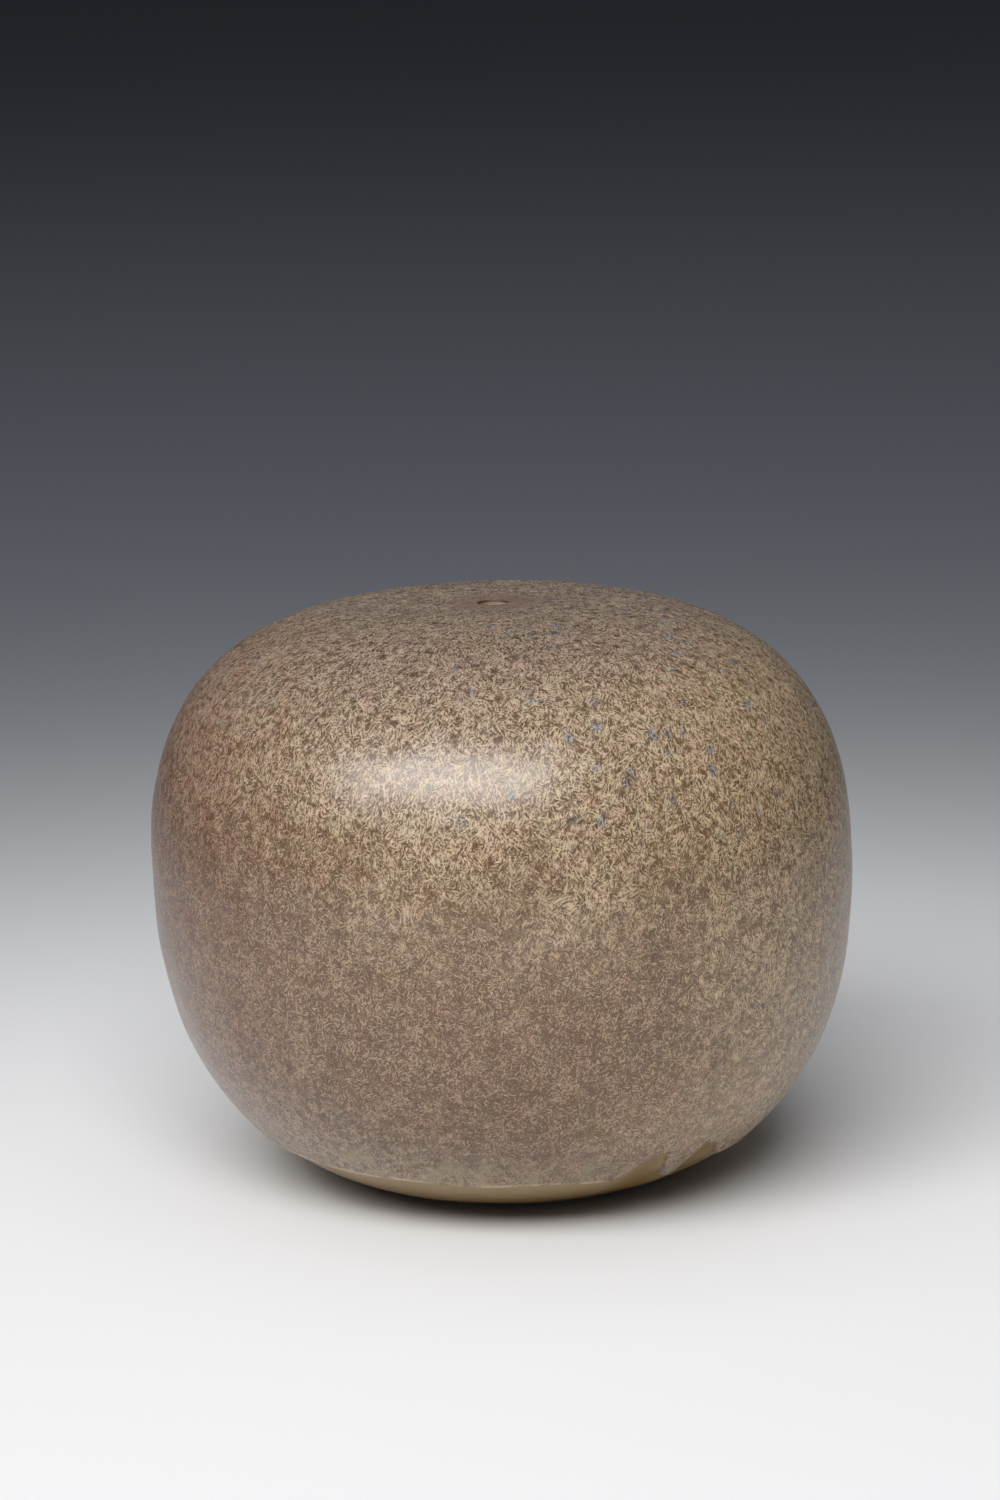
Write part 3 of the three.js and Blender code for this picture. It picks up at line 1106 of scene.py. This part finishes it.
@dataclass
class CrystalGlaze:
    """The thick speckled coat from its rolled run line, with the drip, over the lip into the throat."""

    wall: ThrownWall
    run: RunLine
    finish: CrystalFinish = CrystalFinish()
    name: str = "crystal_glaze_coat"
    seat_at: float = 0.76 * MM
    coat: float = 0.69 * MM
    bead_swell: float = 0.15 * MM
    bead_width: float = 2.0 * MM
    bead_span: float = 2.6 * MM
    drip_swell: float = 0.4 * MM
    drip_roll: float = 1.8 * MM
    drip_roll_reach: float = 0.6
    waviness: float = 0.05 * MM
    wave_seed: int = 5
    wave_lengths: tuple[float, float] = (9 * MM, 26 * MM)
    settled_by: float = 4.0 * MM
    edge_search: float = 12.0 * MM
    columns: int = 420
    crowding_steps: int = 8400
    drip_crowding: float = 2.5
    drip_spread: float = 0.3
    bead_rows: int = 14
    wall_rows: int = 58
    upper_rows: int = 88
    lip_rows: int = 14
    throat_rows: int = 4
    inside_rows: int = 24

    def bearings(self) -> np.ndarray:
        """Crowds the columns of the grid near the drip.

        The crowding is 1 plus a bell curve about the drip, and the columns lie at even steps of
        its running sum.

        Returns:
            Bearings once round the vase.
        """
        turn = np.linspace(-math.pi, math.pi, self.crowding_steps + 1)
        crowding = 1 + self.drip_crowding * np.exp(-(turn / self.drip_spread) ** 2)
        total = np.concatenate([[0.0], np.cumsum((crowding[1:] + crowding[:-1]) / 2)])
        even = np.linspace(0, total[-1], self.columns, endpoint=False)
        return np.interp(even, total, turn) + self.run.drip_bearing

    def outside_distances(self, edge: np.ndarray) -> np.ndarray:
        """Spreads the outside rows from each column's edge to the throat.

        The rolled edge has rows that widen with the square of their count. Even rows follow up
        to the belly, the crown, round the lip and down the throat.

        Args:
            edge: Distance of the run line in each column.

        Returns:
            Distances, a row for each column of the coat.
        """
        bead = self.bead_span * np.linspace(0, 1, self.bead_rows) ** 2
        rolled = edge[:, None] + bead
        shares = steps(0, 1, self.wall_rows)
        lower = rolled[:, -1:] * (1 - shares) + self.wall.belly_at * shares
        upper = np.concatenate([
            steps(self.wall.belly_at, self.wall.crown_at, self.upper_rows),
            steps(self.wall.crown_at, self.wall.throat_at, self.lip_rows),
            steps(self.wall.throat_at, self.wall.end_at, self.throat_rows),
        ])
        return np.concatenate([rolled, lower, np.tile(upper, (len(edge), 1))], axis=1)

    def thickness(self, bearing: np.ndarray, distance: np.ndarray, above: np.ndarray) -> np.ndarray:
        """Works out the coat's thickness.

        A plain coat, a bead that fades away from the edge and the drip's swelling are added, and
        the sum is rounded down to nothing at the edge: by a quarter ellipse, and round the drip by
        a longer, flatter parabola, which is the ellipse squared.

        Args:
            bearing: Bearings of the columns.
            distance: Distances up the wall.
            above: Length from the run line, in the same shape.

        Returns:
            Thickness over the seat.
        """
        rise = distance - self.run.edge(bearing)[:, None]
        bead = self.bead_swell * np.exp(-(above / self.bead_width) ** 2)
        drip = self.drip_swell * np.exp(-(rise / (self.run.drip_length / 2)) ** 2)
        drip = drip * self.run.drip_share(bearing)[:, None]
        roll_reach = self.drip_roll_reach * self.run.pull_width
        near_drip = np.exp(-(self.run.from_drip(bearing) / roll_reach) ** 4)[:, None]
        roll = np.clip(above / (self.bead_width / 2 + self.drip_roll * near_drip), 0, 1)
        return (self.coat + bead + drip) * (1 - (1 - roll) ** 2) ** (0.5 + 0.5 * near_drip)

    def build(self) -> bpy.types.Object:
        """Makes the coat as a closed ring: up its outside, and down its seat on the base glaze.

        Returns:
            The dressed piece.
        """
        bearing = self.bearings()
        edge = self.run.edge(bearing)
        outside = self.outside_distances(edge)
        seat_start = edge + self.bead_width
        shares = np.linspace(1, 0, self.inside_rows)
        inside = seat_start[:, None] * (1 - shares) + self.wall.end_at * shares
        above = self.run.clearance(bearing, outside, self.edge_search)
        thick = self.thickness(bearing, outside, above)
        column = bearing[:, None]
        plain = self.wall.place(*self.wall.at(outside, self.seat_at), column)
        settled = np.clip(above / self.settled_by, 0, 1)
        wave = self.waviness * settled * swells(plain, self.wave_seed, self.wave_lengths)
        shell = self.wall.place(*self.wall.at(outside, self.seat_at + thick + wave), column)
        lining = self.wall.place(*self.wall.at(inside, self.seat_at), column)
        grid = RoundGrid(np.concatenate([shell, lining], axis=1))
        piece = grid.piece(self.name)
        grid.mark(piece, "above_edge", np.concatenate([above, inside - edge[:, None]], axis=1))
        off_drip = np.abs(self.run.from_drip(column))
        grid.mark(piece, "off_drip", np.broadcast_to(off_drip, grid.points.shape[:2]))
        distance = np.concatenate([outside, inside], axis=1)
        grid.mark(piece, "up_drip", distance - np.min(edge))
        depth = np.where(distance > self.wall.crown_at, np.max(shell[..., 2]) - grid.points[..., 2], 0)
        grid.mark(piece, "throat_depth", depth)
        seat(piece, "crystal_glaze", self.finish.material())
        return piece


@dataclass
class BaseGlaze:
    """The thin smooth coat from its wiped edge over the ledge to the throat."""

    wall: ThrownWall
    run: RunLine
    finish: BaseFinish = BaseFinish()
    name: str = "base_glaze_coat"
    start: float = 3.0 * MM
    seat_at: float = 0.05 * MM
    coat: float = 0.7 * MM
    edge_width: float = 1.4 * MM
    waviness: float = 0.03 * MM
    wave_seed: int = 11
    wave_lengths: tuple[float, float] = (8 * MM, 20 * MM)
    columns: int = 300
    edge_rows: int = 8
    shown_rows: int = 44
    shown_until: float = 48.0 * MM
    hidden_rows: int = 40
    inside_rows: int = 24

    def build(self) -> bpy.types.Object:
        """Makes the coat as a closed ring, rounded down to the clay at its wiped edge.

        Returns:
            The dressed piece.
        """
        bearing = even_bearings(self.columns)
        outside = np.concatenate([
            self.start + self.edge_width * np.linspace(0, 1, self.edge_rows) ** 2,
            steps(self.start + self.edge_width, self.shown_until, self.shown_rows),
            steps(self.shown_until, self.wall.end_at, self.hidden_rows),
        ])
        inside = np.linspace(self.wall.end_at, self.start + self.edge_width, self.inside_rows)
        roll = np.clip((outside - self.start) / self.edge_width, 0, 1)
        thick = self.coat * np.sqrt(1 - (1 - roll) ** 2)
        column = bearing[:, None]
        plain = self.wall.place(*self.wall.at(outside, self.seat_at), column)
        shown = np.clip((self.shown_until - outside) / self.edge_width, 0, 1)
        wave = self.waviness * roll * shown * swells(plain, self.wave_seed, self.wave_lengths)
        offset = self.seat_at + thick + wave
        shell = self.wall.place(*self.wall.at(np.tile(outside, (self.columns, 1)), offset), column)
        lining = self.wall.place(*self.wall.at(inside, self.seat_at), column)
        grid = RoundGrid(np.concatenate([shell, lining], axis=1))
        piece = grid.piece(self.name)
        distance = np.concatenate([outside, inside])[None, :]
        grid.mark(piece, "below_run", self.run.edge(bearing)[:, None] - distance)
        from_drip = np.broadcast_to(self.run.from_drip(column), grid.points.shape[:2])
        grid.mark(piece, "off_drip", np.abs(from_drip))
        grid.mark(piece, "right_of_drip", from_drip)
        seat(piece, "base_glaze", self.finish.material())
        return piece


@dataclass
class StonewareBody:
    """The thrown clay: recessed foot ring, wall, lip, throat and hollow."""

    wall: ThrownWall
    finish: ClayFinish = ClayFinish()
    name: str = "stoneware_clay"
    foot_radius: float = 30.0 * MM
    ring_width: float = 7.0 * MM
    recess: float = 3.0 * MM
    draft: float = 1.0 * MM
    rounding: float = 0.8 * MM
    columns: int = 200
    wall_rows: int = 110
    hollow_rows: int = 60
    corner_rows: int = 5
    flat_rows: int = 6

    def corner(self, centre: tuple[float, float], start: float, sweep: float) -> np.ndarray:
        """Rounds a corner of the foot by an arc.

        Args:
            centre: Radius and height of the arc's middle.
            start: Angle where the arc starts, from the outward direction upwards.
            sweep: Angle that it turns through.

        Returns:
            Points of radius and height.
        """
        turn = start + sweep * np.linspace(0, 1, self.corner_rows)
        return np.array(centre) + self.rounding * np.stack([np.cos(turn), np.sin(turn)], axis=-1)

    def foot(self) -> np.ndarray:
        """Outlines the underside from the axis to the ledge.

        The recess is level, its wall slopes down to the ring by the draft, and the ring's inner
        and outer corners are rounded.

        Returns:
            Points of radius and height.
        """
        inner = self.foot_radius - self.ring_width
        quarter = math.pi / 2
        level = np.linspace(0, inner - self.draft, self.flat_rows)
        recess = np.stack([level, np.full(self.flat_rows, self.recess)], axis=-1)
        inner_corner = self.corner((inner + self.rounding, self.rounding), math.pi, quarter)
        outer_corner = self.corner((self.foot_radius - self.rounding, self.rounding), -quarter, quarter)
        root = np.array([[self.foot_radius, self.wall.foot_height]])
        return np.concatenate([recess, inner_corner, outer_corner, root])

    def build(self) -> bpy.types.Object:
        """Makes the clay as one outline from axis to axis, carried round.

        Returns:
            The dressed piece.
        """
        outside = np.linspace(0, self.wall.throat_at, self.wall_rows)
        hollow = np.linspace(self.wall.crown_at, 0, self.hollow_rows)
        throat_radius = float(self.wall.at(np.array(self.wall.throat_at), 0.0)[0])
        throat_end = np.array([[throat_radius, self.wall.crown_height - self.wall.thickness]])
        floor_middle = np.array([[0.0, self.wall.foot_height + self.wall.thickness]])
        outline = np.concatenate([
            self.foot(),
            np.stack(self.wall.at(outside, 0.0), axis=-1),
            throat_end,
            np.stack(self.wall.at(hollow, -self.wall.thickness), axis=-1),
            floor_middle,
        ])
        piece = RoundGrid(self.wall.turned(outline, self.columns), poles=True).piece(self.name)
        seat(piece, "stoneware_body", self.finish.material())
        return piece


@dataclass
class LinerGlaze:
    """The coat over the hollow's floor, wall and ceiling."""

    wall: ThrownWall
    finish: LinerFinish = LinerFinish()
    name: str = "liner_glaze_coat"
    gap: float = 0.05 * MM
    coat: float = 0.65 * MM
    columns: int = 160
    rows: int = 60

    def build(self) -> bpy.types.Object:
        """Makes the coat as one closed outline from axis to axis, out along the clay and back.

        Returns:
            The dressed piece.
        """
        distance = np.linspace(0, self.wall.crown_at, self.rows)
        under = self.wall.thickness + self.gap
        top = under + self.coat
        outside = np.stack(self.wall.at(distance, -under), axis=-1)
        inside = np.stack(self.wall.at(distance[::-1], -top), axis=-1)
        floor = self.wall.foot_height
        outline = np.concatenate([[[0.0, floor + under]], outside, inside, [[0.0, floor + top]]])
        piece = RoundGrid(self.wall.turned(outline, self.columns), poles=True).piece(self.name)
        seat(piece, "liner_glaze", self.finish.material())
        return piece


@dataclass
class PhotoCamera:
    """The camera of the photograph: its place, its tilt and where the vase falls in the frame."""

    target: tuple[float, float, float] = (0.0, 0.0, 66.5 * MM)
    distance: float = 0.960
    elevation: float = math.radians(14.29)
    roll: float = math.radians(1.25)
    frame_pixels: tuple[int, int] = (1000, 1500)
    target_pixel: tuple[float, float] = (502.57, 880.98)
    focal_pixels: float = 4176.0
    sensor: float = 36.0

    def build(self) -> bpy.types.Object:
        """Sets up the camera.

        It looks from the front at its elevation, rolled about its line of sight, and is turned
        so that the target falls on its pixel without any shift.

        Returns:
            The camera.
        """
        back = Vector((0.0, -math.cos(self.elevation), math.sin(self.elevation)))
        level = Vector((1.0, 0.0, 0.0))
        rise = back.cross(level)
        right = level * math.cos(self.roll) - rise * math.sin(self.roll)
        up = level * math.sin(self.roll) + rise * math.cos(self.roll)
        width, height = self.frame_pixels
        aside = (self.target_pixel[0] - width / 2) / self.focal_pixels
        over = (height / 2 - self.target_pixel[1]) / self.focal_pixels
        back_turned = (back + right * aside + up * over).normalized()
        right_turned = (right - back_turned * right.dot(back_turned)).normalized()
        up_turned = back_turned.cross(right_turned)
        data = bpy.data.cameras.new("photo_camera")
        data.sensor_width = self.sensor
        data.lens = self.sensor * self.focal_pixels / max(width, height)
        camera = add("photo_camera", data)
        axes = Matrix((right_turned, up_turned, back_turned)).transposed().to_4x4()
        camera.matrix_world = Matrix.Translation(Vector(self.target) + back * self.distance) @ axes
        bpy.context.scene.camera = camera
        return camera


@dataclass(frozen=True)
class Panel:
    """A soft panel light, aimed from a bearing and an elevation, and tilted about its own aim."""

    name: str
    size: tuple[float, float]
    power: float
    distance: float
    bearing: float
    elevation: float
    tilt: float = 0.0
    mirrored: bool = True

    def hang(self, aim: tuple[float, float, float]) -> bpy.types.Object:
        """Hangs the panel.

        Args:
            aim: The place that it is aimed at.

        Returns:
            The light, which the glaze mirrors or not.
        """
        level = math.cos(self.elevation)
        across = math.sin(self.bearing) * level
        towards = Vector((across, -math.cos(self.bearing) * level, math.sin(self.elevation)))
        data = bpy.data.lights.new(self.name, "AREA")
        data.shape = "RECTANGLE"
        data.size, data.size_y = self.size
        data.energy = self.power
        light = add(self.name, data)
        turn = towards.to_track_quat("Z", "Y").to_matrix().to_4x4()
        tilt = Matrix.Rotation(self.tilt, 4, "Z")
        light.matrix_world = Matrix.Translation(Vector(aim) + towards * self.distance) @ turn @ tilt
        light.visible_glossy = self.mirrored
        return light


@dataclass
class Studio:
    """A pale floor with a painted pool of light that fades to grey away from the vase, a soft box over
    the front, a dim panel overhead and a dim grey room.
    """

    floor_reach: float = 14.0
    floor_colour: Colour = tint(240, 240, 241)
    # Painted shade: the floor is coloured darker far from the vase, as if the light fell off there.
    far_floor_painted_shade: Colour = tint(98, 102, 110)
    light_pool_middle: tuple[float, float, float] = (0.0, -0.22, 0.0)
    light_pool_reach: float = 0.52
    light_pool_power: float = 4.6
    room_colour: Colour = tint(72, 74, 78)
    aim: tuple[float, float, float] = (0.0, 0.0, 0.07)
    soft_box: Panel = Panel(
        name="soft_box",
        size=(2.2, 0.92),
        power=45.0,
        distance=2.0,
        bearing=math.radians(-21),
        elevation=math.radians(46),
        tilt=math.radians(8),
    )
    top_panel: Panel = Panel(
        name="top_panel",
        size=(2.6, 2.6),
        power=18.0,
        distance=2.4,
        bearing=math.radians(-80),
        elevation=math.radians(84),
        mirrored=False,
    )

    def paper_with_painted_light(self) -> bpy.types.Material:
        """Builds the floor's paper with a painted pool of light: pale under the vase, darker with the
        distance from it, where less light would fall.

        The painted lit share is 1 / (1 + (distance / reach) ^ power).

        Returns:
            The material.
        """
        sheet = NodeSheet("studio_floor_painted_light_pool")
        distance = sheet.vector("LENGTH", sheet.vector("SUBTRACT", sheet.place(), self.light_pool_middle))
        fall = sheet.math("POWER", sheet.math("DIVIDE", distance, self.light_pool_reach), self.light_pool_power)
        # Painted pool of light: pale near the vase, fading to the darker far colour with distance.
        painted_light_share = sheet.math("DIVIDE", 1.0, sheet.math("ADD", 1.0, fall))
        colour = sheet.blend(painted_light_share, self.far_floor_painted_shade, self.floor_colour)
        return sheet.shade(Base_Color=colour, Roughness=0.9)

    def floor(self) -> bpy.types.Object:
        """Lays the floor as one square at table height.

        Returns:
            The floor.
        """
        reach = self.floor_reach
        signs = ((-1, -1), (1, -1), (1, 1), (-1, 1))
        corners = [(reach * across, reach * along, 0.0) for across, along in signs]
        mesh = bpy.data.meshes.new("studio_floor")
        mesh.from_pydata(corners, [], [(0, 1, 2, 3)])
        mesh.materials.append(self.paper_with_painted_light())
        floor = add("studio_floor", mesh)
        return floor

    def room(self) -> None:
        """Fills the room with even dim light."""
        world = bpy.data.worlds.new("studio_room")
        world.use_nodes = True
        world.node_tree.nodes["Background"].inputs["Color"].default_value = self.room_colour
        bpy.context.scene.world = world

    def build(self) -> None:
        """Sets up the floor, the lights and the room."""
        self.floor()
        self.soft_box.hang(self.aim)
        self.top_panel.hang(self.aim)
        self.room()
        bpy.context.scene.view_settings.view_transform = "Standard"


def main() -> None:
    """Builds the vase's layers from the clay outwards, then the studio and the camera."""
    logging.basicConfig(level=logging.INFO, format="%(message)s")
    wall = ThrownWall()
    run = RunLine(wall)
    StonewareBody(wall).build()
    LinerGlaze(wall).build()
    BaseGlaze(wall, run).build()
    CrystalGlaze(wall, run).build()
    Studio().build()
    PhotoCamera().build()


if __name__ == "__main__":
    main()
